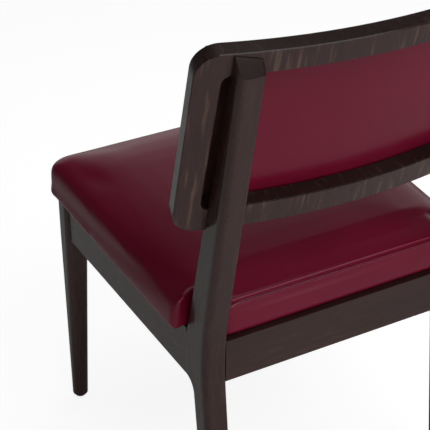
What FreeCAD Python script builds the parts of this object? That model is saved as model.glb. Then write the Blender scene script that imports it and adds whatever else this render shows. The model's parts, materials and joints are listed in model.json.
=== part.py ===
import FreeCAD, Part
import math
import os

from FreeCAD import Vector

os.makedirs("parts", exist_ok=True)

# Sizes in millimetres. The chair faces -Y and stands on z = 0.
# Distances "behind" and "ahead" are taken from the rear face of the rear rail.

# Seat frame
rail_top = 405.0
rear_rail_height = 66.3
side_rail_height = 78.0
rail_thickness = 22.0
rear_rail_length = 359.0

# Rear legs
rear_leg_thickness = 33.0
rear_foot_reach = 38.0
rear_foot_depth = 26.0
bend_height = 385.0
bend_ahead = 4.4
bend_radius = 420.0
stile_below_back_top = 21.5
stile_rear_slope = 0.19716
stile_bevel_drop = 21.0
stile_bevel_run = 11.6
stile_front_ahead = 51.4
stile_front_rise_start = 399.0
stile_front_slope = 0.248
under_rail_curve = 21.0
rear_outer_edge_radius = 10.0
leg_edge_radius = 3.0
leg_edge_bevel = 2.0

# Front legs
front_leg_block = 37.0
front_leg_block_radius = 11.0
front_leg_foot = 25.0
front_leg_foot_radius = 12.0
front_leg_outer_half = 227.7
front_leg_centre_ahead = 443.3
foot_bevel = 2.0

# How far the rails stand back from the leg faces
side_rail_rear_setback = 1.0
side_rail_front_setback = 5.6
front_rail_setback = 5.0

# Back frame: a moulded panel bent to a cylinder, leaning back
back_bottom_height = 584.0
back_bottom_behind = 22.2
back_rake = 14.56
back_radius = 998.0
back_thickness = 22.2
back_height = 275.1
back_arc_width = 514.0
back_corner_radius = 31.0
window_side_margin = 33.3
window_bottom_margin = 36.2
window_top_margin = 31.0
window_corner_radius = 13.0
back_edge_bevel = 1.2

# Back pad on the front of the frame
pad_margin = 16.0
pad_corner_radius = 22.0
pad_board_thickness = 5.0
pad_foam_depth = 24.0
pad_crown = 7.0
pad_edge_radius = 10.0
pad_edge_flats = 3
rear_cover_thickness = 1.0

# Seat cushion
cushion_rear_ahead = 5.0
cushion_front_ahead = 470.0
cushion_rear_half = 217.5
cushion_front_half = 236.5
cushion_rear_corner = 8.0
cushion_front_corner = 24.0
cushion_seam_rise = 54.5
cushion_crown_rise = 65.0
crown_lift = 5.0
crown_reach = 110.0
edge_round = 22.0
lower_round = 9.0
notch_ahead = 53.0
notch_half = 177.0
cover_thickness = 1.5
seat_board_thickness = 12.0
seat_board_inset = 9.0
dust_cover_thickness = 0.6
dust_cover_inset = 14.0

# Joints and fixings
dowel_radius = 4.0
dowel_in_rail = 20.0
dowel_in_leg = 15.0
side_dowel_spacing = 32.0
rear_dowel_spacing = 26.0
front_dowel_spacing = 20.0
back_dowel_length = 17.0
back_dowel_in_frame = 11.0
back_dowel_above_window = 8.0
dowel_clearance = 0.05
dowel_end_gap = 0.5
block_reach_across = 70.0
block_reach_along = 80.0
block_height = 30.0
block_below_rail_top = 6.0
screw_shank_radius = 2.2
screw_head_radius = 4.5
screw_head_height = 3.0
screw_in_rail = 16.0
screw_in_block = 24.0
screw_along_rail = 45.0
screw_height_offset = 6.0
screw_clearance = 0.3
seat_screw_offset = 22.0
seat_screw_in_board = 9.0
clip_radius = 3.0
clip_in_frame = 10.0
clip_spread = 150.0
glide_radius = 9.0
glide_height = 4.0
glide_bevel = 1.2
glide_nail_radius = 1.5
glide_nail_length = 16.0
soft_clearance = 0.3
seat_clearance = 0.1
dowel_sides = 8
screw_sides = 6
glide_sides = 24

# Derived positions
rake = math.radians(back_rake)
back_top_behind = back_bottom_behind + back_height * math.sin(rake)
back_top_height = back_bottom_height + back_height * math.cos(rake)
stile_rear_height = back_top_height - stile_below_back_top
stile_rear_reach = stile_rear_slope * (stile_rear_height - bend_height) - bend_ahead
rear_reach = max(back_top_behind, stile_rear_reach, rear_foot_reach)
rail_y = (cushion_front_ahead - rear_reach) / 2.0
stile_inner = rear_rail_length / 2.0
stile_outer = stile_inner + rear_leg_thickness
side_rail_bottom = rail_top - side_rail_height
rear_rail_bottom = rail_top - rear_rail_height
front_leg_y = rail_y - front_leg_centre_ahead
front_leg_rear_y = front_leg_y + front_leg_block / 2.0
front_leg_front_y = front_leg_y - front_leg_block / 2.0
front_leg_x = front_leg_outer_half - front_leg_block / 2.0
front_foot_x = front_leg_outer_half - front_leg_foot / 2.0
stile_front_y = rail_y - stile_front_ahead
side_rail_rear_x = stile_outer - side_rail_rear_setback
side_rail_front_x = front_leg_outer_half - side_rail_front_setback
side_rail_splay = (side_rail_front_x - side_rail_rear_x) / (stile_front_y - front_leg_rear_y)
front_rail_y = front_leg_front_y + front_rail_setback
tiny = 0.001
edge_slack = 1.0
long_edge = 5.0
cutter_overlap = 5.0
far = 1000.0


def side_rail_x(y):
    """Outer face of the left side rail at a place along the chair."""
    return side_rail_rear_x + side_rail_splay * (stile_front_y - y)


def save(name, shape):
    """Write one node."""
    shape.exportStep("parts/" + name + ".step")


def mirrored(shape):
    """The same piece on the other side of the chair."""
    return shape.mirror(Vector(0, 0, 0), Vector(1, 0, 0))


def both_sides(shapes):
    """A group of identical pieces together with its mirror image."""
    return Part.makeCompound(shapes + [mirrored(shape) for shape in shapes])


def rounded_wire(corners, place):
    """Closed outline of straight lines, each corner (a, b, radius) rounded by an arc."""
    entries = []
    count = len(corners)
    for index in range(count):
        here = Vector(corners[index][0], corners[index][1], 0)
        before = Vector(corners[index - 1][0], corners[index - 1][1], 0)
        after = Vector(corners[(index + 1) % count][0], corners[(index + 1) % count][1], 0)
        radius = corners[index][2]
        back_way = (before - here).normalize()
        next_way = (after - here).normalize()
        half_angle = back_way.getAngle(next_way) / 2.0
        reach = radius / math.tan(half_angle)
        inward = (back_way + next_way).normalize()
        middle = here + inward * (radius / math.sin(half_angle) - radius)
        entries.append((here + back_way * reach, middle, here + next_way * reach, radius))
    edges = []
    for index in range(count):
        start, middle, end, radius = entries[index]
        if radius > 0:
            arc = Part.Arc(place(start.x, start.y), place(middle.x, middle.y), place(end.x, end.y))
            edges.append(arc.toShape())
        following = entries[(index + 1) % count][0]
        if (following - end).Length > tiny:
            edges.append(Part.makeLine(place(end.x, end.y), place(following.x, following.y)))
    return Part.Wire(edges)


def flat_prism(points, bottom, top):
    """Upright prism on a polygon drawn in plan."""
    corners = [Vector(x, y, bottom) for x, y in points]
    wire = Part.makePolygon(corners + corners[:1])
    return Part.Face(wire).extrude(Vector(0, 0, top - bottom))


def ring(middle, direction, radius, sides):
    """Outline of a turned piece, square to its direction, its round kept to a few flats."""
    helper = Vector(0, 0, 1) if abs(direction.z) < 0.5 else Vector(1, 0, 0)
    first = direction.cross(helper).normalize()
    second = direction.cross(first).normalize()
    corners = []
    for step in range(sides):
        angle = 2.0 * math.pi * (step + 0.5) / sides
        corners.append(middle + (first * math.cos(angle) + second * math.sin(angle)) * radius)
    return Part.makePolygon(corners + corners[:1])


def rod(start, direction, length, radius, sides):
    """Rod from a point along a direction."""
    return Part.Face(ring(start, direction, radius, sides)).extrude(direction * length)


def screw(head_point, direction, length):
    """Countersunk wood screw, its head face at head_point."""
    neck = head_point + direction * screw_head_height
    head = Part.makeLoft([ring(head_point, direction, screw_head_radius, screw_sides),
                          ring(neck, direction, screw_shank_radius, screw_sides)], True, True)
    return head.fuse(rod(neck, direction, length - screw_head_height, screw_shank_radius, screw_sides))


def screw_way(head_point, direction, depth, recess):
    """Clearance hole of a screw with a round recess behind its head."""
    way = rod(head_point, direction, depth, screw_shank_radius + screw_clearance, screw_sides)
    seat = rod(head_point - direction * recess, direction, recess + screw_head_height,
               screw_head_radius + screw_clearance, screw_sides)
    return way.fuse(seat)


def dowel_hole(dowel_middle, direction, reach_back, reach_on):
    """Hole for one dowel that runs both ways from the joint face."""
    start = dowel_middle - direction * (reach_back + dowel_end_gap)
    length = reach_back + reach_on + 2.0 * dowel_end_gap
    return rod(start, direction, length, dowel_radius + dowel_clearance, dowel_sides)


# Back frame. Points are given by depth radius, arc angle and distance up the lean.
lean_up = Vector(0, math.sin(rake), math.cos(rake))
lean_out = Vector(0, math.cos(rake), -math.sin(rake))
back_base = Vector(0, rail_y + back_bottom_behind, back_bottom_height)
bend_centre = back_base - lean_out * back_radius


def back_point(radius, angle, rise):
    """Point on a cylinder round the bend's axis."""
    outward = Vector(math.sin(angle), 0, 0) + lean_out * math.cos(angle)
    return bend_centre + outward * radius + lean_up * rise


def bent_box(inner, outer, half_angle, low, high):
    """Bent panel between two radii with square corners."""
    ends = [(inner, low), (outer, low), (outer, high), (inner, high)]
    corners = [back_point(radius, half_angle, rise) for radius, rise in ends]
    face = Part.Face(Part.makePolygon(corners + corners[:1]))
    return face.revolve(bend_centre, lean_up, math.degrees(2.0 * half_angle))


def bent_block(inner, outer, half_angle, low, high, corner_radius):
    """Bent panel between two radii, its four corners rounded."""
    block = bent_box(inner, outer, half_angle, low, high)
    corner_edges = [edge for edge in block.Edges if is_corner_edge(edge, inner, outer)]
    return block.makeFillet(corner_radius, corner_edges)


def is_corner_edge(edge, inner, outer):
    """True for a short edge that runs through the thickness of a bent panel."""
    straight = edge.Curve.TypeId == "Part::GeomLine"
    return straight and abs(edge.Length - (outer - inner)) < tiny


back_half_angle = back_arc_width / 2.0 / back_radius
window_half_angle = (back_arc_width / 2.0 - window_side_margin) / back_radius
back_front_radius = back_radius - back_thickness
window_top = back_height - window_top_margin

back_frame = bent_block(back_front_radius, back_radius, back_half_angle, 0.0, back_height,
                        back_corner_radius)
window = bent_block(back_front_radius - cutter_overlap, back_radius + cutter_overlap, window_half_angle,
                    window_bottom_margin, window_top, window_corner_radius)
back_frame = back_frame.cut(window)
long_edges = [edge for edge in back_frame.Edges if not is_corner_edge(edge, back_front_radius, back_radius)]
back_frame = back_frame.makeChamfer(back_edge_bevel, long_edges)

# Rear leg: one sawn piece, bent at the seat, let in to the rear face of the back frame


def leg_place(x):
    """Turns a profile point (behind, height) into a point at the given x."""
    return lambda behind, height: Vector(x, rail_y + behind, height)


front_foot_behind = rear_foot_reach - rear_foot_depth
bevel_slope = stile_bevel_drop / stile_bevel_run
bevel_rise = bevel_slope * (stile_rear_reach + stile_front_ahead)
bevel_reach = stile_rear_height - stile_front_rise_start + bevel_rise
cross_behind = bevel_reach / (bevel_slope + 1.0 / stile_front_slope) - stile_front_ahead
cross_height = stile_rear_height + bevel_slope * (stile_rear_reach - cross_behind)
curve_run = front_foot_behind + stile_front_ahead
curve_rise = side_rail_bottom - under_rail_curve - glide_height
curve_tilt = math.asin(under_rail_curve / math.hypot(curve_run, curve_rise))
lower_lean = math.atan2(curve_run, curve_rise) - curve_tilt
under_rail_behind = front_foot_behind - math.tan(lower_lean) * (side_rail_bottom - glide_height)
leg_corners = [
    (rear_foot_reach, glide_height, 0.0),
    (-bend_ahead, bend_height, bend_radius),
    (stile_rear_reach, stile_rear_height, 0.0),
    (cross_behind, cross_height, 0.0),
    (-stile_front_ahead, stile_front_rise_start, 0.0),
    (-stile_front_ahead, side_rail_bottom, 0.0),
    (under_rail_behind, side_rail_bottom, under_rail_curve),
    (front_foot_behind, glide_height, 0.0),
]
leg_blank = Part.Face(rounded_wire(leg_corners, leg_place(stile_inner))).extrude(
    Vector(rear_leg_thickness, 0, 0))
split_box = Part.makeBox(2.0 * far, 2.0 * far, stile_front_rise_start, Vector(-far, -far, 0))
lower_leg = leg_blank.common(split_box)
upper_leg = leg_blank.cut(split_box)


def long_leg_edges(solid, x, rear):
    """Edges that run up the leg at one side, on its rear or its front face."""
    chosen = []
    for edge in solid.Edges:
        box = edge.BoundBox
        middle = (box.YMin + box.YMax) / 2.0 - rail_y
        centre = leg_centre((box.ZMin + box.ZMax) / 2.0)
        flat = abs(box.XMax - x) < tiny and abs(box.XMin - x) < tiny
        upright_edge = box.ZLength > long_edge and box.ZMin < stile_rear_height - edge_slack
        if flat and upright_edge and (middle > centre) == rear:
            chosen.append(edge)
    return chosen


def leg_centre(height):
    """Middle of the leg's depth at a height."""
    if height > bend_height:
        rear = stile_rear_slope * (height - bend_height) - bend_ahead
    else:
        rear = rear_foot_reach - (rear_foot_reach + bend_ahead) * height / bend_height
    if height > side_rail_bottom:
        front = max(0.0, height - stile_front_rise_start) * stile_front_slope - stile_front_ahead
    else:
        front = front_foot_behind - math.tan(lower_lean) * height
    return (rear + front) / 2.0


def rounded_leg(solid):
    """Leg part with its rear edges rounded, the outer one most."""
    solid = solid.makeFillet(rear_outer_edge_radius, long_leg_edges(solid, stile_outer, True))
    return solid.makeFillet(leg_edge_radius, long_leg_edges(solid, stile_inner, True))


lower_leg = rounded_leg(lower_leg)
upper_leg = rounded_leg(upper_leg)
for x in (stile_inner, stile_outer):
    upper_leg = upper_leg.makeFillet(leg_edge_radius, long_leg_edges(upper_leg, x, False))
    splayed = [edge for edge in long_leg_edges(lower_leg, x, False)
               if edge.BoundBox.ZMax < side_rail_bottom + edge_slack]
    lower_leg = lower_leg.makeChamfer(leg_edge_bevel, splayed)
rear_leg = lower_leg.fuse(upper_leg).removeSplitter()
housing = Part.makeCylinder(back_radius + seat_clearance, far,
                            bend_centre - lean_up * seat_clearance, lean_up)
rear_leg = rear_leg.cut(housing)

# Front leg: square block at the rails, tapering to a round foot with a plumb outer face


def leg_section(x, size, radius, height):
    """Rounded square outline of the front leg."""
    half = size / 2.0
    corners = [(x - half, front_leg_y - half, radius), (x + half, front_leg_y - half, radius),
               (x + half, front_leg_y + half, radius), (x - half, front_leg_y + half, radius)]
    return rounded_wire(corners, lambda a, b: Vector(a, b, height))


block_wire = leg_section(front_leg_x, front_leg_block, front_leg_block_radius, side_rail_bottom)
foot_wire = leg_section(front_foot_x, front_leg_foot, front_leg_foot_radius, glide_height + foot_bevel)
sole_wire = leg_section(front_foot_x, front_leg_foot - 2.0 * foot_bevel,
                        front_leg_foot_radius - foot_bevel, glide_height)
front_leg = Part.makeLoft([sole_wire, foot_wire, block_wire], True, True)
front_leg = front_leg.fuse(Part.Face(block_wire).extrude(Vector(0, 0, side_rail_height)))

# Rails
rear_rail = Part.makeBox(rear_rail_length, rail_thickness, rear_rail_height,
                         Vector(-stile_inner, rail_y - rail_thickness, rear_rail_bottom))
front_rail_half = front_leg_outer_half - front_leg_block
front_rail = Part.makeBox(2.0 * front_rail_half, rail_thickness, side_rail_height,
                          Vector(-front_rail_half, front_rail_y, side_rail_bottom))
rail_front_y = front_leg_rear_y - front_leg_block_radius / 2.0
side_rail = flat_prism([(side_rail_x(stile_front_y), stile_front_y),
                        (side_rail_x(stile_front_y) - rail_thickness, stile_front_y),
                        (side_rail_x(rail_front_y) - rail_thickness, rail_front_y),
                        (side_rail_x(rail_front_y), rail_front_y)], side_rail_bottom, rail_top)
side_rail = side_rail.cut(front_leg)

# Corner blocks, cut to fit round the legs
side_inner_rear = side_rail_x(rail_y - rail_thickness) - rail_thickness
side_inner_front = side_rail_x(front_rail_y + rail_thickness) - rail_thickness
block_top = rail_top - block_below_rail_top
block_bottom = block_top - block_height
rear_corner = Vector(side_inner_rear, rail_y - rail_thickness, 0)
front_corner = Vector(side_inner_front, front_rail_y + rail_thickness, 0)


def corner_block(corner, way):
    """Three-sided block in a corner of the seat frame; way is -1 for a rear corner, 1 for a front one."""
    far_y = corner.y + way * block_reach_along
    points = [(corner.x, corner.y), (corner.x - block_reach_across, corner.y),
              (side_rail_x(far_y) - rail_thickness, far_y)]
    return flat_prism(points, block_bottom, block_top)


rear_block = corner_block(rear_corner, -1.0).cut(rear_leg)
front_block = corner_block(front_corner, 1.0).cut(front_leg)

# Screws of the corner blocks: one into each rail, at two heights
low_screw = (block_bottom + block_top) / 2.0 - screw_height_offset
high_screw = (block_bottom + block_top) / 2.0 + screw_height_offset
screw_length = screw_in_block + screw_in_rail
pilot_radius = screw_shank_radius + seat_clearance


def block_screw_places(corner, way):
    """Head points and directions of the two screws of one block."""
    across = Vector(corner.x - screw_along_rail, corner.y + way * screw_in_block, low_screw)
    along_y = corner.y + way * screw_along_rail
    along = Vector(side_rail_x(along_y) - rail_thickness - screw_in_block, along_y, high_screw)
    return [(across, Vector(0, -way, 0)), (along, Vector(1, 0, 0))]


block_screws = []
for corner, way in ((rear_corner, -1.0), (front_corner, 1.0)):
    for head_point, direction in block_screw_places(corner, way):
        hole = screw_way(head_point, direction, screw_length + dowel_end_gap, block_reach_along)
        rear_block = rear_block.cut(hole) if way < 0 else rear_block
        front_block = front_block.cut(hole) if way > 0 else front_block
        pilot = rod(head_point, direction, screw_length + dowel_end_gap, pilot_radius, screw_sides)
        side_rail = side_rail.cut(pilot)
        rear_rail = rear_rail.cut(pilot).cut(mirrored(pilot))
        front_rail = front_rail.cut(pilot).cut(mirrored(pilot))
        block_screws.append(screw(head_point, direction, screw_length))

# Seat screws go up through the blocks into the seat board
board_bottom = rail_top + seat_clearance + dust_cover_thickness + seat_clearance
seat_screw_length = board_bottom + seat_screw_in_board - block_bottom
seat_screws = []
seat_screw_holes = []
upright = Vector(0, 0, 1)
for corner, way in ((rear_corner, -1.0), (front_corner, 1.0)):
    head_point = Vector(corner.x - seat_screw_offset, corner.y + way * seat_screw_offset, block_bottom)
    seat_screws.append(screw(head_point, upright, seat_screw_length))
    hole = screw_way(head_point, upright, seat_screw_length + dowel_end_gap, block_below_rail_top)
    rear_block = rear_block.cut(hole) if way < 0 else rear_block
    front_block = front_block.cut(hole) if way > 0 else front_block
    seat_screw_holes.append(rod(head_point, upright, seat_screw_length + dowel_end_gap, pilot_radius,
                                screw_sides))

# Rail dowels, two in each joint
dowels = []
dowel_length = dowel_in_rail + dowel_in_leg
side_middle = (rail_top + side_rail_bottom) / 2.0
rear_middle = (rail_top + rear_rail_bottom) / 2.0
rail_way = Vector(-side_rail_splay, 1.0, 0).normalize()
half_rail = rail_thickness / 2.0
for sign in (-1.0, 1.0):
    side_height = side_middle + sign * side_dowel_spacing / 2.0
    rear_height = rear_middle + sign * rear_dowel_spacing / 2.0
    front_height = side_middle + sign * front_dowel_spacing / 2.0
    rear_side = Vector(side_rail_x(stile_front_y) - half_rail, stile_front_y, side_height)
    front_side = Vector(side_rail_x(front_leg_rear_y) - half_rail, front_leg_rear_y, side_height)
    rear_across = Vector(stile_inner, rail_y - half_rail, rear_height)
    front_across = Vector(front_rail_half, front_rail_y + half_rail, front_height)
    ways = [(rear_side, rail_way), (front_side, rail_way * -1.0),
            (rear_across, Vector(1, 0, 0)), (front_across, Vector(1, 0, 0))]
    for middle, direction in ways:
        start = middle - direction * dowel_in_rail
        dowels.append(rod(start, direction, dowel_length, dowel_radius, dowel_sides))
        hole = dowel_hole(middle, direction, dowel_in_rail, dowel_in_leg)
        rear_leg = rear_leg.cut(hole)
        front_leg = front_leg.cut(hole)
        side_rail = side_rail.cut(hole)
        rear_rail = rear_rail.cut(hole).cut(mirrored(hole))
        front_rail = front_rail.cut(hole).cut(mirrored(hole))

# Dowels between the rear legs and the back frame
back_dowels = []
stile_middle_angle = math.asin((stile_inner + rear_leg_thickness / 2.0) / back_radius)
for rise in (window_bottom_margin / 2.0, window_top + back_dowel_above_window):
    start = back_point(back_radius - back_dowel_in_frame, stile_middle_angle, rise)
    outward = (back_point(back_radius, stile_middle_angle, rise) - start).normalize()
    back_dowels.append(rod(start, outward, back_dowel_length, dowel_radius, dowel_sides))
    hole = rod(start - outward * dowel_end_gap, outward, back_dowel_length + 2.0 * dowel_end_gap,
               dowel_radius + dowel_clearance, dowel_sides)
    rear_leg = rear_leg.cut(hole)
    back_frame = back_frame.cut(hole).cut(mirrored(hole))

# Glides nailed under the feet


def glide(x, y):
    """Round nail-on glide, bevelled below."""
    disc = rod(Vector(x, y, 0), upright, glide_height, glide_radius, glide_sides)
    rim = [edge for edge in disc.Edges if edge.BoundBox.ZMax < tiny]
    nail = rod(Vector(x, y, glide_height), upright, glide_nail_length, glide_nail_radius, screw_sides)
    return disc.makeChamfer(glide_bevel, rim).fuse(nail)


def nail_hole(x, y):
    """Hole for a glide's nail, from the sole of a foot."""
    radius = glide_nail_radius + dowel_clearance
    return rod(Vector(x, y, glide_height), upright, glide_nail_length + dowel_end_gap, radius, screw_sides)


rear_foot_x = stile_inner + rear_leg_thickness / 2.0
rear_foot_y = rail_y + rear_foot_reach - rear_foot_depth / 2.0
rear_leg = rear_leg.cut(nail_hole(rear_foot_x, rear_foot_y))
front_leg = front_leg.cut(nail_hole(front_foot_x, front_leg_y))
front_leg = front_leg.removeSplitter()

# Seat cushion


cushion_base = rail_top + soft_clearance
seam_height = cushion_base + cushion_seam_rise
crown_height = cushion_base + cushion_crown_rise
cushion_length = cushion_front_ahead - cushion_rear_ahead
cushion_splay = (cushion_front_half - cushion_rear_half) / cushion_length


def cushion_half(ahead):
    """Half width of the cushion at a distance ahead of the rear rail."""
    return cushion_rear_half + cushion_splay * (ahead - cushion_rear_ahead)


def cushion_wire(height, side_inset, rear_inset):
    """Outline of the cushion at one height: straight sides that widen to the front."""
    front_ahead = cushion_front_ahead - side_inset
    rear_ahead = cushion_rear_ahead + rear_inset
    front_half = cushion_half(front_ahead) - side_inset
    rear_half = cushion_half(rear_ahead) - side_inset
    corners = [(-rear_half, rail_y - rear_ahead, cushion_rear_corner),
               (-front_half, rail_y - front_ahead, cushion_front_corner),
               (front_half, rail_y - front_ahead, cushion_front_corner),
               (rear_half, rail_y - rear_ahead, cushion_rear_corner)]
    return rounded_wire(corners, lambda a, b: Vector(a, b, height))


def rear_inset_at(height):
    """How far the top has drawn in from the rear seam at a height."""
    share = max(0.0, (height - seam_height) / (crown_height - seam_height))
    return crown_reach * (1.0 - math.sqrt(1.0 - share * share))


def cushion_levels():
    """Heights of the cushion's outlines with their side insets, from the drawn-in base to the crown."""
    levels = []
    for step in range(3):
        angle = math.radians(45.0 * step)
        rise = lower_round * (1.0 - math.cos(angle))
        levels.append((cushion_base + rise, lower_round * (1.0 - math.sin(angle))))
    edge_top = crown_height - crown_lift
    for step in range(5):
        angle = math.radians(18.0 * step)
        drop = edge_round * (1.0 - math.sin(angle))
        levels.append((edge_top - drop, edge_round * (1.0 - math.cos(angle))))
    last_height, last_inset = levels[-1]
    for step in range(1, 4):
        share = step / 3.0
        rise = (crown_height - last_height) * (1.0 - (1.0 - share) ** 2)
        levels.append((last_height + rise, last_inset + (crown_reach - last_inset) * share))
    return levels


def plain_faced(form):
    """The same solid with every flat face made a plain plane."""
    faces = []
    for face in form.Faces:
        plane = face.findPlane()
        faces.append(Part.Face(plane, [face.OuterWire]) if plane else face)
    shell = Part.Shell(faces)
    shell.fix(tiny, tiny, tiny)
    return Part.Solid(shell)


def cushion_form(skin, bottom):
    """Crowned cushion form, drawn in below and rounded over above; skin insets every face."""
    wires = []
    for height, side_inset in cushion_levels():
        lowered = height - skin if height > cushion_base + lower_round + tiny else height
        wires.append(cushion_wire(lowered, side_inset + skin, rear_inset_at(height) + skin))
    form = plain_faced(Part.makeLoft(wires, True, True))
    notch_x = notch_half - skin
    notch_y = rail_y - notch_ahead - skin
    for x in (notch_x, -notch_x - far):
        form = form.cut(Part.makeBox(far, far, far, Vector(x, notch_y, 0)))
    if bottom > cushion_base:
        form = form.cut(Part.makeBox(2.0 * far, 2.0 * far, bottom, Vector(-far, -far, 0)))
    return form


board_top = board_bottom + seat_board_thickness
seat_form = cushion_form(0.0, 0.0)
seat_inside = cushion_form(cover_thickness, 0.0)
seat_foam = cushion_form(cover_thickness + soft_clearance, board_top + soft_clearance)
seat_cover = seat_form.cut(seat_inside)

board_rear = rail_y - cushion_rear_ahead - seat_board_inset
board_front = rail_y - cushion_front_ahead + seat_board_inset + cover_thickness
board_notch = rail_y - notch_ahead - cover_thickness - soft_clearance
board_notch_half = notch_half - cover_thickness - soft_clearance
board_rear_half = cushion_rear_half - seat_board_inset - cover_thickness
board_front_half = cushion_front_half - seat_board_inset - cover_thickness


def seat_outline(inset):
    """Outline of the seat board in plan, with its notches round the rear legs."""
    front_half = board_front_half - inset
    side_half = board_rear_half - inset
    notch = board_notch_half - inset
    left = [(notch, board_rear - inset, 0.0), (notch, board_notch - inset, 0.0),
            (side_half, board_notch - inset, 0.0), (front_half, board_front + inset, cushion_front_corner)]
    right = [(-x, y, radius) for x, y, radius in reversed(left)]
    return left + right


def seat_sheet(inset, bottom, thickness):
    """Flat sheet of the seat's shape, drilled for the seat screws."""
    wire = rounded_wire(seat_outline(inset), lambda a, b: Vector(a, b, bottom))
    sheet = Part.Face(wire).extrude(Vector(0, 0, thickness))
    for hole in seat_screw_holes:
        sheet = sheet.cut(hole).cut(mirrored(hole))
    return sheet


seat_board = seat_sheet(0.0, board_bottom, seat_board_thickness)
dust_cover = seat_sheet(dust_cover_inset, rail_top + seat_clearance, dust_cover_thickness)

# Back pad on the front face of the frame
cover_rear = back_front_radius - seat_clearance
board_rear_radius = cover_rear - rear_cover_thickness - seat_clearance
board_front_radius = board_rear_radius - pad_board_thickness
pad_half_angle = back_half_angle - pad_margin / back_radius
pad_low = pad_margin
pad_high = back_height - pad_margin


def pad_form(skin, rear_radius):
    """Pad bent to the frame, its front crowned up and down, its front edges and its corners rounded."""
    low = pad_low + skin
    high = pad_high - skin
    front = board_front_radius - pad_foam_depth + skin
    half_angle = pad_half_angle - skin / back_radius
    wide_angle = half_angle + cutter_overlap / back_radius
    edge_round = pad_edge_radius - skin
    lower = [(rear_radius, low)]
    for step in range(pad_edge_flats + 1):
        angle = math.pi / 2.0 * step / pad_edge_flats
        depth = front + pad_crown + edge_round * (1.0 - math.sin(angle))
        lower.append((depth, low + edge_round * (1.0 - math.cos(angle))))
    lower.append((front, low + (high - low) / 3.0))
    upper = [(depth, low + high - rise) for depth, rise in reversed(lower)]
    corners = [back_point(depth, wide_angle, rise) for depth, rise in lower + upper]
    section = Part.Face(Part.makePolygon(corners + corners[:1]))
    crowned = section.revolve(bend_centre, lean_up, math.degrees(2.0 * wide_angle))
    cornered = bent_block(front - cutter_overlap, rear_radius + cutter_overlap, half_angle, low, high,
                          pad_corner_radius - skin)
    rounded = bent_box(front, rear_radius + cutter_overlap, half_angle, low - cutter_overlap,
                       high + cutter_overlap)
    front_ends = [edge for edge in rounded.Edges if is_front_end(edge, front)]
    rounded = rounded.makeFillet(edge_round, front_ends)
    return crowned.common(cornered).common(rounded)


def is_front_end(edge, front):
    """True for an upright edge at one end of a bent panel's front."""
    point = edge.CenterOfMass - bend_centre
    depth = (point - lean_up * point.dot(lean_up)).Length
    return edge.Curve.TypeId == "Part::GeomLine" and abs(depth - front) < tiny


back_pad_form = pad_form(0.0, board_rear_radius)
back_pad_inside = pad_form(cover_thickness, board_rear_radius + cutter_overlap)
back_pad_cover = back_pad_form.cut(back_pad_inside)
foam_skin = cover_thickness + soft_clearance
back_pad_foam = pad_form(foam_skin, board_front_radius - soft_clearance)
board_half_angle = pad_half_angle - foam_skin / back_radius
back_pad_board = bent_block(board_front_radius, board_rear_radius, board_half_angle, pad_low + foam_skin,
                            pad_high - foam_skin, pad_corner_radius - foam_skin)
back_pad_rear_cover = bent_block(cover_rear - rear_cover_thickness, cover_rear, stile_middle_angle,
                                 pad_low, pad_high, pad_corner_radius)

# Press-in clips hold the pad to the frame's rails
pad_clips = []
lower_clip_rise = (pad_low + window_bottom_margin) / 2.0
upper_clip_rise = (pad_high + window_top) / 2.0
for rise in (lower_clip_rise, upper_clip_rise):
    for spread in (-clip_spread, 0.0, clip_spread):
        angle = spread / back_radius
        start = back_point(board_front_radius, angle, rise)
        outward = (back_point(back_radius, angle, rise) - start).normalize()
        length = board_rear_radius - board_front_radius + rear_cover_thickness + clip_in_frame
        pad_clips.append(rod(start, outward, length, clip_radius, dowel_sides))
        hole = rod(start - outward * dowel_end_gap, outward, length + 2.0 * dowel_end_gap,
                   clip_radius + dowel_clearance, dowel_sides)
        back_frame = back_frame.cut(hole)
        back_pad_board = back_pad_board.cut(hole)
        back_pad_rear_cover = back_pad_rear_cover.cut(hole)

save("front_leg_left", front_leg)
save("front_leg_right", mirrored(front_leg))
save("rear_leg_left", rear_leg)
save("rear_leg_right", mirrored(rear_leg))
save("front_rail", front_rail)
save("rear_rail", rear_rail)
save("side_rail_left", side_rail)
save("side_rail_right", mirrored(side_rail))
save("corner_block_rear_left", rear_block)
save("corner_block_rear_right", mirrored(rear_block))
save("corner_block_front_left", front_block)
save("corner_block_front_right", mirrored(front_block))
save("corner_block_screws", both_sides(block_screws))
save("rail_dowels", both_sides(dowels))
save("seat_screws", both_sides(seat_screws))
save("seat_board", seat_board)
save("seat_foam", seat_foam)
save("seat_cover", seat_cover)
save("seat_dust_cover", dust_cover)
save("back_frame", back_frame)
save("back_dowels", both_sides(back_dowels))
save("back_pad_board", back_pad_board)
save("back_pad_foam", back_pad_foam)
save("back_pad_cover", back_pad_cover)
save("back_pad_rear_cover", back_pad_rear_cover)
save("back_pad_clips", Part.makeCompound(pad_clips))
save("foot_glide_front_left", glide(front_foot_x, front_leg_y))
save("foot_glide_front_right", glide(-front_foot_x, front_leg_y))
save("foot_glide_rear_left", glide(rear_foot_x, rear_foot_y))
save("foot_glide_rear_right", glide(-rear_foot_x, rear_foot_y))
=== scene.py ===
import json
import math

import bmesh
import bpy
import numpy as np
from mathutils import Matrix, Vector
from mathutils.bvhtree import BVHTree


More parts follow.
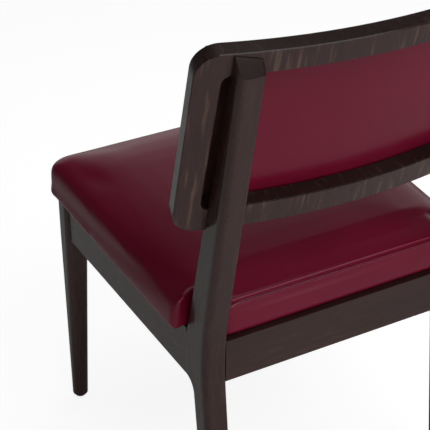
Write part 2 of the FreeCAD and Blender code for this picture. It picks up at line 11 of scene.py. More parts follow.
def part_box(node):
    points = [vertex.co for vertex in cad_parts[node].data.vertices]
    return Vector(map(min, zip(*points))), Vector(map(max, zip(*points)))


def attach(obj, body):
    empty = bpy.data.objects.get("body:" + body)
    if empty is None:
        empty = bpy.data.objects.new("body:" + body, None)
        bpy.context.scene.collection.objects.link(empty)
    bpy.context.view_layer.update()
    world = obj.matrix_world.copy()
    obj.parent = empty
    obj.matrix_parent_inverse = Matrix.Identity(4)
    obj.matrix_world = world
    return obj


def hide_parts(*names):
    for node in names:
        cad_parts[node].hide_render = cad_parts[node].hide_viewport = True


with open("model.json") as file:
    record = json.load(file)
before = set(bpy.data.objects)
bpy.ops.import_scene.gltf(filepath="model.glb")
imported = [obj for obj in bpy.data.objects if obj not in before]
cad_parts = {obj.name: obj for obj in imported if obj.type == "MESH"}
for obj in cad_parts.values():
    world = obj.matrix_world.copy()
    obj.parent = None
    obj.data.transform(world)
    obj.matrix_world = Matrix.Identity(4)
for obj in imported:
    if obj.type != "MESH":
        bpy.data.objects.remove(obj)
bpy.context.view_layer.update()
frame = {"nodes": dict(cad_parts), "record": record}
nodes = frame["nodes"]
scene = bpy.context.scene

# Sizes in metres, in the frame of the solids: +Z up, the chair faces -Y
leg_low, leg_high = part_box("rear_leg_left")
rail_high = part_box("rear_rail")[1]
cover_low, cover_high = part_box("seat_cover")

# Notches of the seat cushion round the rear legs
notch_gap_ahead = 0.0016
notch_gap_beside = 0.0025
notch_front = leg_low.y - notch_gap_ahead
notch_side = leg_low.x - notch_gap_beside
notch_cutter_size = 0.4
notch_held_span = 0.002

# Rear edge of the seat cushion: the band up to the seam, the roll above it and the crown ahead
seam_above_base = 0.0545
seam_height = cover_low.z + seam_above_base
crown_rise = 0.0105
crown_run = 0.110
roll_rise = 0.0048
roll_run = 0.0075
band_reach = 0.020
crown_reach = 0.070
band_samples = 80
crown_samples = 240

# Sides of the seat cushion, from the rear legs to the front
side_spread_rear = 0.0085
side_spread_front = 0.0050
side_bell_rear = 0.0050
side_bell_front = 0.0010
side_drop = 0.006
side_hang_rear = 0.0070
side_hang_front = 0.0040
hang_height = 0.022
hang_width = 0.012
rear_half_span = 0.020

# Gathers of the cover at the notches
pucker_past_leg = 0.014
pucker_reach = 0.009
pucker_cutoff = 3.0 * pucker_reach
pucker_depth = 0.0016
pucker_folds = 5.0

# Sewn seam, the near-black tube of painted shade along it, and its stitches
seam_crease_depth = 0.0008
seam_crease_width = 0.0026
seam_crease_span = 0.012
seam_end_gap = 0.004
# Radius of the near-black tube that paints the shade in the seam's crease
seam_shade_radius = 0.0005
stitch_below_seam = 0.0050
stitch_length = 0.0034
stitch_pitch = 0.0050
stitch_radius = 0.00042
thread_sides = 6

# Cloth of the cushion and the pad
seat_voxel = 0.0050
pad_voxel = 0.0045
seat_swell = 0.0030
pad_swell = 0.0040
base_held_height = 0.010
pad_held_span = 0.008
rear_facing = 0.5
rear_sink = 0.0015
cloth_pressure = 4.0
cloth_frames = 20
smoothing_steps = 14
fairing_steps = 16
fairing_pulls = (0.50, -0.52)

# Range in which most of a noise lies
noise_span = (0.3, 0.7)

# Finish of the wood; colours are linear red, green, blue and alpha
leg_edge_round = 0.0040
rail_edge_round = 0.0016
back_lean = math.radians(14.6)
wood_dark = (0.032, 0.0126, 0.0110, 1)
wood_light = (0.044, 0.0176, 0.0150, 1)
stain_brown = (0.052, 0.0225, 0.018, 1)
fleck_tan = (0.165, 0.090, 0.060, 1)
pore_dark = (0.015, 0.006, 0.005, 1)
# Colour of the end-grain faces: partly the darker end grain of stained wood, partly painted shade on
# the tops of the upright pieces and the back frame
end_grain_and_shade = (0.012, 0.0062, 0.0058, 1)
band_span = (0.32, 0.68)
stain_amount = 0.35
fleck_span = (0.56, 0.72)
pore_span = (0.30, 0.46)
pore_amount = 0.55
# Range and strength of the end-grain darkening, which is partly painted shade on upward faces
end_grain_shade_span = (0.26, 0.50)
end_grain_shade_amount = 0.70
wood_roughness = (0.36, 0.24)
frame_flecks = 0.10
back_flecks = 0.55
wood_relief = 0.00012
wood_specular = 0.16
lacquer_weight = 0.42
lacquer_roughness = 0.06

# Finish of the vinyl and of the plain pieces
vinyl_dark = (0.158, 0.0019, 0.0205, 1)
vinyl_light = (0.182, 0.0026, 0.0244, 1)
vinyl_pit = (0.105, 0.0012, 0.0120, 1)
pit_span = (0.35, 0.65)
pit_amount = 0.12
vinyl_roughness = (0.22, 0.27)
vinyl_relief = 0.000012
vinyl_specular = 0.25
plain_relief = 0.0002
plain_roughness_sway = 0.06
# Specular level of the near-black tube of painted seam shade
seam_shade_specular = 0.05

# Floor, as other surfaces see it and as the camera sees it
floor_reach = 8.0
floor_white = (0.88, 0.88, 0.88, 1)
floor_seen = (0.35, 0.35, 0.35, 1)
floor_seen_glow = 0.87
floor_roughness = 0.9
floor_specular = 0.1

# Soft boxes, each with its name, place, width, height and brightness, all facing one target
light_target = (0.0, 0.0, 0.5)
watts_per_brightness = 4.0
soft_boxes = (
    ("key_box", (-0.58, 1.78, 2.58), 2.4, 1.7, 1.9),
    ("low_box", (0.20, 1.80, 0.15), 2.2, 0.5, 2.5),
    ("top_box", (0.00, -0.20, 3.00), 2.2, 1.6, 1.15),
)

# World: a glow low ahead of the chair, weaker on its left; the spans are parts of a unit direction
glow_strength = 0.72
glow_heights = (0.43, 0.57)
glow_ahead = (-0.45, 0.05)
glow_across = (-0.05, 0.30)
glow_left_share = 0.05
room_light = 0.04
backdrop_seen = 0.91

# Camera, placed from the rear face of the rear rail
camera_place = Vector((0.84318, rail_high.y + 1.17973, 1.46725))
camera_turn = math.radians(28.025)
camera_dip = math.radians(32.325)
image_width = 430.0
focal_pixels = 1309.63
centre_column = 202.15
centre_row = 208.91
sensor_millimetres = 36.0


def new_object(name, data):
    """Link a mesh, lamp or camera into the scene under a name."""
    made = bpy.data.objects.new(name, data)
    scene.collection.objects.link(made)
    return made


def object_from(shape, name):
    """Turn a mesh under construction into a named object."""
    mesh = bpy.data.meshes.new(name)
    shape.to_mesh(mesh)
    shape.free()
    return new_object(name, mesh)


def bake(piece):
    """Replace a piece's mesh by the one its modifiers give."""
    depsgraph = bpy.context.evaluated_depsgraph_get()
    mesh = bpy.data.meshes.new_from_object(piece.evaluated_get(depsgraph))
    piece.modifiers.clear()
    piece.data = mesh


def points_of(mesh):
    """Vertex places as rows."""
    places = np.zeros(len(mesh.vertices) * 3)
    mesh.vertices.foreach_get("co", places)
    return places.reshape(-1, 3)


def set_points(mesh, places):
    """Move the vertices to the given rows."""
    mesh.vertices.foreach_set("co", places.astype(np.float32).ravel())
    mesh.update()


def smooth(piece):
    """Shade a piece smoothly."""
    piece.data.polygons.foreach_set("use_smooth", [True] * len(piece.data.polygons))


# Shader helpers


def put(tree, node, socket, value):
    """Set one input, by a link if the value is a socket."""
    if isinstance(value, bpy.types.NodeSocket):
        tree.links.new(value, node.inputs[socket])
    else:
        node.inputs[socket].default_value = value


def add(tree, kind, inputs=(), **settings):
    """New shader node with its inputs and settings."""
    node = tree.nodes.new("ShaderNode" + kind)
    for name, value in settings.items():
        setattr(node, name, value)
    for socket, value in dict(inputs).items():
        put(tree, node, socket, value)
    return node


def remap(tree, value, low, high, to_low=0.0, to_high=1.0):
    """Value spread from one range to another and held inside it."""
    inputs = {"Value": value, "From Min": low, "From Max": high, "To Min": to_low, "To Max": to_high}
    return add(tree, "MapRange", inputs).outputs["Result"]


def blend(tree, amount, first, second):
    """Mix of two colours."""
    node = add(tree, "Mix", {"Factor": amount}, data_type="RGBA")
    colours = [socket for socket in node.inputs if socket.type == "RGBA"]
    for socket, value in zip(colours, (first, second)):
        if isinstance(value, bpy.types.NodeSocket):
            tree.links.new(value, socket)
        else:
            socket.default_value = value
    return next(socket for socket in node.outputs if socket.type == "RGBA")


def new_group(name, inputs, outputs):
    """Node group with its sockets, and its input and output nodes."""
    tree = bpy.data.node_groups.new(name, "ShaderNodeTree")
    for socket, kind in inputs:
        tree.interface.new_socket(socket, in_out="INPUT", socket_type="NodeSocket" + kind)
    for socket, kind in outputs:
        tree.interface.new_socket(socket, in_out="OUTPUT", socket_type="NodeSocket" + kind)
    return tree, tree.nodes.new("NodeGroupInput"), tree.nodes.new("NodeGroupOutput")


surface_outputs = (("Colour", "Color"), ("Roughness", "Float"), ("Height", "Float"))


def wood_group():
    """Stained wood with its grain along Z: growth bands, pores, pale flecks, and end-grain faces
    darkened, partly as real end grain and partly as painted shade on the upward faces.
    """
    inputs = (("Place", "Vector"), ("Facing", "Vector"), ("Pale", "Float"))
    tree, start, end = new_group("wood_grain", inputs, surface_outputs)
    along = add(tree, "Mapping", {"Vector": start.outputs["Place"], "Scale": (1.0, 1.0, 0.05)})
    growth = {"Vector": along.outputs[0], "Scale": 85.0, "Detail": 5.0, "Distortion": 0.5}
    bands = add(tree, "TexNoise", growth)
    pores = add(tree, "TexNoise", {"Vector": along.outputs[0], "Scale": 620.0, "Detail": 3.0})
    stain = add(tree, "TexNoise", {"Vector": start.outputs["Place"], "Scale": 7.0, "Detail": 2.0})
    band_share = remap(tree, bands.outputs[0], *band_span)
    brown = blend(tree, band_share, wood_dark, wood_light)
    tone = remap(tree, stain.outputs[0], *noise_span, 0.0, stain_amount)
    brown = blend(tree, tone, brown, stain_brown)
    fleck_shape = add(tree, "Mapping", {"Vector": start.outputs["Place"], "Scale": (1.0, 0.3, 0.10)})
    flecks = add(tree, "TexNoise", {"Vector": fleck_shape.outputs[0], "Scale": 170.0, "Detail": 1.0})
    fleck_share = remap(tree, flecks.outputs[0], *fleck_span)
    pale_share = add(tree, "Math", {0: fleck_share, 1: start.outputs["Pale"]}, operation="MULTIPLY")
    brown = blend(tree, pale_share.outputs[0], brown, fleck_tan)
    pore_share = remap(tree, pores.outputs[0], *pore_span, pore_amount, 0.0)
    brown = blend(tree, pore_share, brown, pore_dark)
    # End-grain faces darkened: partly real end grain, partly painted shade on the upward faces of the
    # uprights and the back frame
    along_grain = add(tree, "SeparateXYZ", {"Vector": start.outputs["Facing"]}).outputs["Z"]
    end_face = add(tree, "Math", {0: along_grain}, operation="ABSOLUTE").outputs[0]
    end_grain_shade_share = remap(tree, end_face, *end_grain_shade_span, 0.0, end_grain_shade_amount)
    put(tree, end, "Colour", blend(tree, end_grain_shade_share, brown, end_grain_and_shade))
    put(tree, end, "Roughness", remap(tree, pores.outputs[0], *noise_span, *wood_roughness))
    put(tree, end, "Height", pores.outputs[0])
    return tree


def vinyl_group():
    """Burgundy coated fabric: fine pebbled grain and slow changes of tone."""
    tree, start, end = new_group("vinyl_grain", (("Place", "Vector"),), surface_outputs)
    pebbles = add(tree, "TexNoise", {"Vector": start.outputs["Place"], "Scale": 600.0, "Detail": 1.0})
    creases = add(tree, "TexNoise", {"Vector": start.outputs["Place"], "Scale": 240.0, "Detail": 2.0})
    tone = add(tree, "TexNoise", {"Vector": start.outputs["Place"], "Scale": 9.0, "Detail": 2.0})
    tone_share = remap(tree, tone.outputs[0], *noise_span)
    red = blend(tree, tone_share, vinyl_dark, vinyl_light)
    pit_share = remap(tree, pebbles.outputs[0], *pit_span, pit_amount, 0.0)
    put(tree, end, "Colour", blend(tree, pit_share, red, vinyl_pit))
    put(tree, end, "Roughness", remap(tree, creases.outputs[0], *noise_span, *vinyl_roughness))
    relief = add(tree, "Math", {0: pebbles.outputs[0], 1: creases.outputs[0]}, operation="ADD")
    put(tree, end, "Height", relief.outputs[0])
    return tree


def new_material(name):
    """Material with its tree and its Principled shader."""
    material = bpy.data.materials.new(name)
    material.use_nodes = True
    tree = material.node_tree
    return material, tree, tree.nodes["Principled BSDF"]


def dress(tree, shader, group, inputs, bump_depth, edge_round=0.0):
    """Feed a surface group's colour, roughness and relief into a shader; edges may be shaded round."""
    surface = tree.nodes.new("ShaderNodeGroup")
    surface.node_tree = group
    for socket, value in inputs.items():
        put(tree, surface, socket, value)
    relief = {"Height": surface.outputs["Height"], "Strength": 0.5, "Distance": bump_depth}
    bump = add(tree, "Bump", relief)
    if edge_round > 0.0:
        put(tree, bump, "Normal", add(tree, "Bevel", {"Radius": edge_round}, samples=4).outputs[0])
    put(tree, shader, "Base Color", surface.outputs["Colour"])
    put(tree, shader, "Roughness", surface.outputs["Roughness"])
    put(tree, shader, "Normal", bump.outputs[0])


wood_grain = wood_group()
vinyl_grain = vinyl_group()


def wood_material(name, turn, pale, edge_round):
    """Lacquered wood; turn brings the piece's grain onto the group's Z axis."""
    material, tree, shader = new_material(name)
    place = add(tree, "TexCoord").outputs["Object"]
    turned = add(tree, "Mapping", {"Vector": place, "Rotation": turn}).outputs[0]
    facing = add(tree, "NewGeometry").outputs["Normal"]
    facing = add(tree, "Mapping", {"Vector": facing, "Rotation": turn}, vector_type="VECTOR").outputs[0]
    surface = {"Place": turned, "Facing": facing, "Pale": pale}
    dress(tree, shader, wood_grain, surface, wood_relief, edge_round)
    shader.inputs["Specular IOR Level"].default_value = wood_specular
    shader.inputs["Coat Weight"].default_value = lacquer_weight
    shader.inputs["Coat Roughness"].default_value = lacquer_roughness
    return material


def vinyl_material(name):
    """Satin coated fabric of the cushion and the pad."""
    material, tree, shader = new_material(name)
    place = add(tree, "TexCoord").outputs["Object"]
    dress(tree, shader, vinyl_grain, {"Place": place}, vinyl_relief)
    shader.inputs["Specular IOR Level"].default_value = vinyl_specular
    return material


def plain_material(name, colour, spread, scale, roughness, metallic=0.0):
    """Simple finish whose tone varies a little."""
    material, tree, shader = new_material(name)
    place = add(tree, "TexCoord").outputs["Object"]
    noise = add(tree, "TexNoise", {"Vector": place, "Scale": scale, "Detail": 4.0})
    share = remap(tree, noise.outputs[0], *noise_span)
    dark = tuple(part * (1.0 - spread) for part in colour) + (1,)
    put(tree, shader, "Base Color", blend(tree, share, dark, colour + (1,)))
    smoothest = roughness - plain_roughness_sway
    roughest = roughness + plain_roughness_sway
    put(tree, shader, "Roughness", remap(tree, noise.outputs[0], *noise_span, smoothest, roughest))
    relief = {"Height": noise.outputs[0], "Strength": 0.3, "Distance": plain_relief}
    bump = add(tree, "Bump", relief)
    put(tree, shader, "Normal", bump.outputs[0])
    shader.inputs["Metallic"].default_value = metallic
    return material


quarter = math.pi / 2.0
upright_wood = wood_material("upright_wood", (0.0, 0.0, 0.0), frame_flecks, leg_edge_round)
cross_wood = wood_material("cross_wood", (0.0, quarter, 0.0), frame_flecks, rail_edge_round)
side_wood = wood_material("side_wood", (quarter, 0.0, 0.0), frame_flecks, rail_edge_round)
back_wood = wood_material("back_wood", (back_lean, 0.0, 0.0), back_flecks, rail_edge_round)
burgundy = vinyl_material("burgundy_vinyl")
raw_wood = plain_material("raw_beech", (0.48, 0.33, 0.20), 0.25, 60.0, 0.65)
plywood = plain_material("raw_plywood", (0.55, 0.41, 0.26), 0.2, 40.0, 0.7)
zinc = plain_material("zinc_steel", (0.58, 0.58, 0.56), 0.2, 300.0, 0.35, 1.0)
lining = plain_material("black_lining", (0.02, 0.02, 0.02), 0.4, 900.0, 0.9)
nylon = plain_material("black_nylon", (0.03, 0.03, 0.03), 0.3, 200.0, 0.5)
clip_nylon = plain_material("pale_nylon", (0.75, 0.75, 0.72), 0.1, 200.0, 0.45)
foam = plain_material("foam", (0.80, 0.76, 0.62), 0.15, 700.0, 0.95)
thread = plain_material("thread", (0.30, 0.075, 0.10), 0.3, 2500.0, 0.6)
# Near-black material of the tube that paints the shade in the seam's crease
painted_seam_shade = plain_material("seam_shade", (0.012, 0.001, 0.003), 0.3, 900.0, 0.9)
painted_seam_shade_shader = painted_seam_shade.node_tree.nodes["Principled BSDF"]
painted_seam_shade_shader.inputs["Specular IOR Level"].default_value = seam_shade_specular

slot_materials = {
    "raw_wood": raw_wood,
    "plywood": plywood,
    "zinc_steel": zinc,
    "foam": foam,
    "burgundy_vinyl": burgundy,
    "black_lining": lining,
    "clip_plastic": clip_nylon,
    "glide_plastic": nylon,
}
wood_of_node = {
    "front_rail": cross_wood,
    "rear_rail": cross_wood,
    "side_rail_left": side_wood,
    "side_rail_right": side_wood,
    "back_frame": back_wood,
}


def dress_solids():
    """Give every solid its material."""
    for part in frame["record"]["subparts"]:
        name = part["node"]
        material = slot_materials.get(part["material_slot"], wood_of_node.get(name, upright_wood))
        mesh = nodes[name].data
        mesh.materials.clear()
        mesh.materials.append(material)


# Soft pieces


def hull_piece(name, node):
    """Convex outer form of a solid as a new piece."""
    shape = bmesh.new()
    for vertex in nodes[node].data.vertices:
        shape.verts.new(vertex.co)
    bmesh.ops.convex_hull(shape, input=shape.verts)
    loose = [vertex for vertex in shape.verts if not vertex.link_faces]
    bmesh.ops.delete(shape, geom=loose, context="VERTS")
    return object_from(shape, name)


def joined_piece(name, sources):
    """Copies of several solids in one new piece."""
    shape = bmesh.new()
    for source in sources:
        shape.from_mesh(nodes[source].data)
    bmesh.ops.remove_doubles(shape, verts=shape.verts, dist=1e-6)
    return object_from(shape, name)


def cut_notch(piece, side):
    """Cut the notch round one rear leg; side is 1 on the left and -1 on the right."""
    half = notch_cutter_size / 2.0
    middle = Vector((side * (notch_side + half), notch_front + half, rail_high.z))
    shape = bmesh.new()
    bmesh.ops.create_cube(shape, size=notch_cutter_size, matrix=Matrix.Translation(middle))
    cutter = object_from(shape, "notch")
    modifier = piece.modifiers.new("notch", "BOOLEAN")
    modifier.operation = "DIFFERENCE"
    modifier.object = cutter
    bake(piece)
    bpy.data.objects.remove(cutter)


def remesh(piece, voxel):
    """Even quads all over a piece."""
    modifier = piece.modifiers.new("remesh", "REMESH")
    modifier.mode = "VOXEL"
    modifier.voxel_size = voxel
    bake(piece)


def averager(mesh):
    """Function that gives the mean of every vertex's neighbours."""
    ends = np.zeros(len(mesh.edges) * 2, dtype=np.int32)
    mesh.edges.foreach_get("vertices", ends)
    first, second = ends.reshape(-1, 2).T
    count = np.maximum(np.bincount(ends, minlength=len(mesh.vertices))[:, None], 1)

    def mean(values):
        total = np.zeros_like(values)
        np.add.at(total, first, values[second])
        np.add.at(total, second, values[first])
        return total / count

    return mean


def evened(mesh, moved):
    """Movement of the vertices with its small wrinkles averaged out."""
    mean = averager(mesh)
    for step in range(smoothing_steps):
        moved = (moved + mean(moved)) / 2.0
    return moved


def fair(piece, loose):
    """Round off the flats of the loose points, without drawing the piece in."""
    mean = averager(piece.data)
    places = points_of(piece.data)
    for step in range(fairing_steps):
        for pull in fairing_pulls:
            places += (mean(places) - places) * pull * loose[:, None]
    set_points(piece.data, places)


def swell(piece, held, limit):
    """Blow a piece up as cloth, with some points held and none moving past the limit."""
    rest = points_of(piece.data)
    group = piece.vertex_groups.new(name="held")
    group.add([int(index) for index in np.flatnonzero(held)], 1.0, "REPLACE")
    modifier = piece.modifiers.new("cloth", "CLOTH")
    modifier.settings.use_pressure = True
    modifier.settings.uniform_pressure_force = cloth_pressure
    modifier.settings.effector_weights.gravity = 0.0
    modifier.settings.vertex_group_mass = "held"
    modifier.collision_settings.use_collision = False
    modifier.point_cache.frame_end = cloth_frames
    for step in range(1, cloth_frames + 1):
        scene.frame_set(step)
    bake(piece)
    scene.frame_set(1)
    piece.vertex_groups.clear()
    moved = evened(piece.data, points_of(piece.data) - rest) * (1.0 - held[:, None])
    length = np.linalg.norm(moved, axis=1, keepdims=True)
    moved *= np.minimum(1.0, limit / np.maximum(length, 1e-9))
    set_points(piece.data, rest + moved)


def subdivide(piece):
    """One level of subdivision."""
    modifier = piece.modifiers.new("subdivision", "SUBSURF")
    modifier.levels = 1
    modifier.render_levels = 1
    bake(piece)
    smooth(piece)


def finish_soft(piece, material, replaced):
    """Material and body of a soft piece; the solids it replaces are hidden."""
    piece.data.materials.clear()
    piece.data.materials.append(material)
    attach(piece, "root")
    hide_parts(*replaced)


def rolled_line():
    """Section of the rear edge, up the band and onto the crown: distances ahead of it, and heights."""
    climb = np.linspace(-2.0 * band_reach, 0.0, band_samples)
    ahead = crown_run * np.linspace(0.0, 1.0, crown_samples) ** 2
    short = 1.0 - np.minimum(1.0, ahead / roll_run)
    long = 1.0 - ahead / crown_run
    rise = roll_rise * np.sqrt(1.0 - short * short) + (crown_rise - roll_rise) * (1.0 - long * long)
    band = np.stack([np.zeros_like(climb), seam_height + climb], axis=1)
    return np.concatenate([band, np.stack([ahead, seam_height + rise], axis=1)])


def roll_rear(piece):
    """Bring the rear edge, rounded off by the even quads, back onto its rolled line."""
    line = rolled_line()
    places = points_of(piece.data)
    section = np.stack([cover_high.y - places[:, 1], places[:, 2]], axis=1)
    distance = np.hypot(section[:, 0], section[:, 1] - seam_height)
    distance /= np.where(section[:, 1] > seam_height, crown_reach, band_reach)
    beside = notch_side - np.abs(places[:, 0])
    near = np.flatnonzero((distance < 1.0) & (beside > 0.0))
    spot = section[near]
    closest = np.argmin(((spot[:, None, :] - line[None, :, :]) ** 2).sum(axis=2), axis=1)
    share = np.minimum(1.0, 2.0 - 2.0 * distance[near]) * np.minimum(1.0, beside[near] / band_reach)
    spot += (line[closest] - spot) * share[:, None]
    places[near, 1] = cover_high.y - spot[:, 0]
    places[near, 2] = spot[:, 1]
    set_points(piece.data, places)


def spread_sides(piece):
    """Fill the sides out over the side rails, most at the rear, and let their lower edge hang."""
    places = points_of(piece.data)
    across = np.abs(places[:, 0])
    ahead = notch_front - places[:, 1]
    along = np.clip(ahead / (notch_front - cover_low.y), 0.0, 1.0)
    beside_notch = (ahead > 0.0) & (ahead < rear_half_span)
    rear_half = across[beside_notch].max()
    half = rear_half + (across.max() - rear_half) * along
    outward = np.clip((across - notch_side) / (half - notch_side), 0.0, 1.0)
    outward *= np.clip(ahead / notch_gap_beside + 1.0, 0.0, 1.0)
    height = (places[:, 2] - cover_low.z) / (seam_height - cover_low.z)
    lowness = np.clip(1.0 - height, 0.0, 1.0)
    spread = np.interp(along, (0.0, 1.0), (side_spread_rear, side_spread_front))
    spread += np.interp(along, (0.0, 1.0), (side_bell_rear, side_bell_front)) * lowness
    places[:, 0] += np.sign(places[:, 0]) * spread * outward
    drop = side_drop * (1.0 - along) * outward**2 * (1.0 - lowness)
    low = np.clip(1.0 - (places[:, 2] - cover_low.z) / hang_height, 0.0, 1.0)
    past_rail = np.clip((across - half) / hang_width + 1.0, 0.0, 1.0) * (ahead > 0.0)
    hang = np.interp(along, (0.0, 1.0), (side_hang_rear, side_hang_front)) * low * past_rail
    places[:, 2] -= drop + hang
    set_points(piece.data, places)


def pucker_corners(piece):
    """Small gathers where the cover is folded into the notch round each rear leg."""
    places = points_of(piece.data)
    for side in (1.0, -1.0):
        corner = np.array([side * (leg_high.x + pucker_past_leg), notch_front, seam_height])
        apart = places - corner
        distance = np.linalg.norm(apart, axis=1)
        angle = np.arctan2(apart[:, 1], apart[:, 0] * side)
        gather = np.cos(pucker_folds * angle) * np.exp(-((distance / pucker_reach) ** 2))
        places[:, 2] += pucker_depth * gather * (distance < pucker_cutoff)
    set_points(piece.data, places)


def crease_seam(piece):
    """Draw the cover in along the sewn seam below the rear edge of the seat."""
    places = points_of(piece.data)
    rear = places[:, 1] > cover_high.y - seam_crease_span
    between = np.abs(places[:, 0]) < notch_side
    distance = (places[:, 2] - seam_height) / seam_crease_width
    depth = seam_crease_depth * np.exp(-distance * distance) * (rear & between)
    places[:, 1] -= depth
    set_points(piece.data, places)


def seat_cushion():
    """Boxed seat cushion, notched round the rear legs."""
    piece = hull_piece("seat_cushion", "seat_cover")
    for side in (1.0, -1.0):
        cut_notch(piece, side)
    remesh(piece, seat_voxel)
    places = points_of(piece.data)
    low = places[:, 2] < cover_low.z + base_held_height
    beside_tongue = np.abs(places[:, 0]) > notch_side - notch_held_span
    notch = beside_tongue & (places[:, 1] > notch_front - notch_held_span)
    swell(piece, low | notch, seat_swell)
    fair(piece, 1.0 - notch)
    spread_sides(piece)
    subdivide(piece)
    pucker_corners(piece)
    roll_rear(piece)
    crease_seam(piece)
    finish_soft(piece, burgundy, ("seat_cover", "seat_foam"))
    return piece


def sink_rear(piece, board):
    """Draw a pad's rear in, so that its board shows behind it."""
    places = points_of(piece.data)
    for index, place in enumerate(places):
        hit, normal = board.find_nearest(Vector(place))[:2]
        if normal.y > rear_facing:
            places[index] = hit - normal * rear_sink
    set_points(piece.data, places)


def back_pad():
    """Padded panel on the front of the back frame."""
    piece = joined_piece("back_pad", ("back_pad_cover", "back_pad_foam", "back_pad_board"))
    remesh(piece, pad_voxel)
    depsgraph = bpy.context.evaluated_depsgraph_get()
    rear = BVHTree.FromObject(nodes["back_pad_rear_cover"], depsgraph)
    board = BVHTree.FromObject(nodes["back_pad_board"], depsgraph)
    gaps = [rear.find_nearest(place)[3] for place in points_of(piece.data)]
    held = np.array(gaps) < pad_held_span
    swell(piece, held, pad_swell)
    subdivide(piece)
    sink_rear(piece, board)
    finish_soft(piece, burgundy, ("back_pad_cover", "back_pad_foam"))


def rear_point(tree, x, height, way):
    """Point on the cushion's rear, met along a way from behind."""
    return tree.ray_cast(Vector((x, cover_high.y, height)) - way, way)[0]


def add_tube(shape, places, radius):
    """Add a thin tube through a row of points, its ends closed, to a mesh under construction."""
    rings = []
    for index, place in enumerate(places):
        way = places[min(index + 1, len(places) - 1)] - places[max(index - 1, 0)]
        first = way.orthogonal().normalized()
        second = way.cross(first).normalized()
        ring = []
        for step in range(thread_sides):
            angle = 2.0 * math.pi * step / thread_sides
            offset = first * math.cos(angle) + second * math.sin(angle)
            ring.append(shape.verts.new(place + offset * radius))
        rings.append(ring)
    for before, after in zip(rings, rings[1:]):
        for step in range(thread_sides):
            following = (step + 1) % thread_sides
            shape.faces.new((before[step], before[following], after[following], after[step]))
    shape.faces.new(list(reversed(rings[0])))
    shape.faces.new(rings[-1])


def sewn_piece(name, rows, radius, material):
    """Thin tubes through rows of points, as one piece on the seat; used for the stitches and for the
    near-black tube of painted shade along the seam.
    """
    shape = bmesh.new()
    for row in rows:
        add_tube(shape, row, radius)
    piece = object_from(shape, name)
    smooth(piece)
    piece.data.materials.append(material)
    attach(piece, "root")


def rear_seam(cushion):
    """Near-black tube of painted shade along the seam line, and its row of stitches on the cushion's
    rear face.
    """
    tree = BVHTree.FromObject(cushion, bpy.context.evaluated_depsgraph_get())
    level = Vector((0.0, -1.0, 0.0))
    slanting = Vector((0.0, -1.0, -1.0)).normalized()
    reach = notch_side - seam_end_gap
    count = int(2.0 * reach / stitch_pitch)
    spots = [-reach + 2.0 * reach * index / count for index in range(count + 1)]
    line = [rear_point(tree, x, seam_height, slanting) for x in spots]
    # The seam line is a near-black tube of painted shade in the crease
    sewn_piece("seat_rear_seam_shade", [line], seam_shade_radius, painted_seam_shade)
    height = seam_height - stitch_below_seam
    half = stitch_length / 2.0
    stitches = []
    for x in spots[1:-1]:
        start = rear_point(tree, x - half, height, level)
        end = rear_point(tree, x + half, height, level)
        middle = (start + end) / 2.0 + Vector((0.0, stitch_radius, 0.0))
        stitches.append([start, middle, end])
    sewn_piece("seat_rear_stitches", stitches, stitch_radius, thread)


# Stage


def soft_box(name, place, width, height, brightness):
    """Soft box that faces the chair."""
    light = bpy.data.lights.new(name, "AREA")
    light.shape = "RECTANGLE"
    light.size = width
    light.size_y = height
    light.energy = brightness * watts_per_brightness * width * height
    made = new_object(name, light)
    made.location = place
    made.rotation_mode = "QUATERNION"
    made.rotation_quaternion = (Vector(light_target) - Vector(place)).to_track_quat("-Z", "Y")


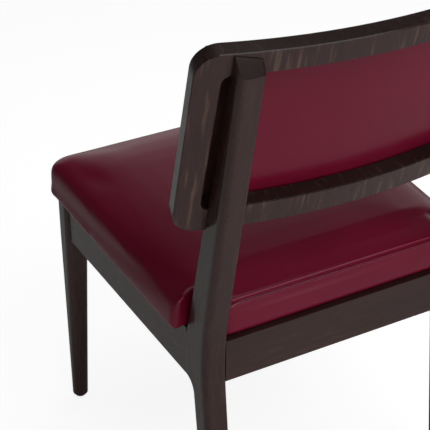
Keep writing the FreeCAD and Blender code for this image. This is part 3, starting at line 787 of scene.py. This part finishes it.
def studio_floor():
    """Pale floor, which the camera sees nearly white."""
    shape = bmesh.new()
    bmesh.ops.create_grid(shape, x_segments=1, y_segments=1, size=floor_reach)
    floor = object_from(shape, "floor")
    material, tree, shader = new_material("studio_floor")
    shader.inputs["Roughness"].default_value = floor_roughness
    shader.inputs["Specular IOR Level"].default_value = floor_specular
    shader.inputs["Emission Color"].default_value = (1, 1, 1, 1)
    seen = add(tree, "LightPath").outputs["Is Camera Ray"]
    glow = add(tree, "Math", {0: seen, 1: floor_seen_glow}, operation="MULTIPLY")
    put(tree, shader, "Emission Strength", glow.outputs[0])
    put(tree, shader, "Base Color", blend(tree, seen, floor_white, floor_seen))
    floor.data.materials.append(material)


def studio_world():
    """Dim room with a glow low ahead of the chair, and a pale backdrop for the camera."""
    world = bpy.data.worlds.new("studio")
    scene.world = world
    world.use_nodes = True
    tree = world.node_tree
    direction = add(tree, "SeparateXYZ", {"Vector": add(tree, "TexCoord").outputs["Generated"]})
    low = remap(tree, direction.outputs["Z"], *glow_heights, glow_strength, 0.0)
    ahead = remap(tree, direction.outputs["Y"], *glow_ahead, 1.0, 0.0)
    across = remap(tree, direction.outputs["X"], *glow_across, 1.0, glow_left_share)
    window = add(tree, "Math", {0: low, 1: ahead}, operation="MULTIPLY")
    window = add(tree, "Math", {0: window.outputs[0], 1: across}, operation="MULTIPLY")
    room = add(tree, "Math", {0: window.outputs[0], 1: room_light}, operation="ADD")
    seen = add(tree, "LightPath").outputs["Is Camera Ray"]
    strength = add(tree, "Mix", {"Factor": seen, "A": room.outputs[0], "B": backdrop_seen})
    background = tree.nodes["Background"]
    background.inputs["Color"].default_value = (1, 1, 1, 1)
    put(tree, background, "Strength", strength.outputs[0])


def studio():
    """Floor, soft boxes and world, with colours shown as they are."""
    studio_floor()
    for box in soft_boxes:
        soft_box(*box)
    studio_world()
    scene.view_settings.view_transform = "Standard"


def camera():
    """Camera behind the chair, above its left shoulder."""
    data = bpy.data.cameras.new("camera")
    made = new_object("camera", data)
    toward = Vector((math.sin(camera_turn), math.cos(camera_turn), 0.0))
    forward = -toward * math.cos(camera_dip) - Vector((0, 0, math.sin(camera_dip)))
    right = Vector((-math.cos(camera_turn), math.sin(camera_turn), 0.0))
    up = right.cross(forward)
    turn = Matrix((right, up, -forward)).transposed().to_4x4()
    made.matrix_world = Matrix.Translation(camera_place) @ turn
    data.sensor_width = sensor_millimetres
    data.lens = focal_pixels / image_width * data.sensor_width
    data.shift_x = (image_width / 2.0 - centre_column) / image_width
    data.shift_y = (centre_row - image_width / 2.0) / image_width
    scene.camera = made


dress_solids()
cushion = seat_cushion()
back_pad()
rear_seam(cushion)
studio()
camera()
